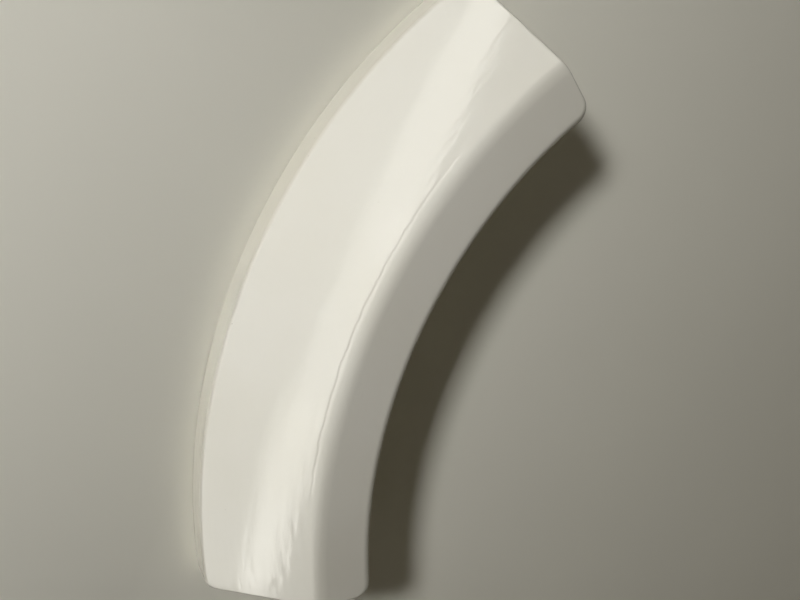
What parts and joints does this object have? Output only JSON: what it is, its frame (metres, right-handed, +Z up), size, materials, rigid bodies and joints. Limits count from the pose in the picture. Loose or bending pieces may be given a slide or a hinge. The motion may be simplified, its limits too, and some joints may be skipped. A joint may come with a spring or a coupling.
{
  "type": "dryer door handle",
  "caption": "Curved one-piece grip for the edge of a round tumble-dryer door, with a sloping front, a rounded ridge and a finger recess behind its free edge.",
  "frame": {"origin": "midway between the two fixing holes, on the face that meets the door", "axes": "+Z up along the handle, +Y into the door, +X from the handle towards the middle of the door"},
  "size_m": [0.0712, 0.033, 0.211],
  "materials": {
    "white_plastic": "glossy cream-white moulded plastic with a faint orange peel"
  },
  "bodies": {
    "root": {"door_handle": "white_plastic"}
  },
  "joints": []
}
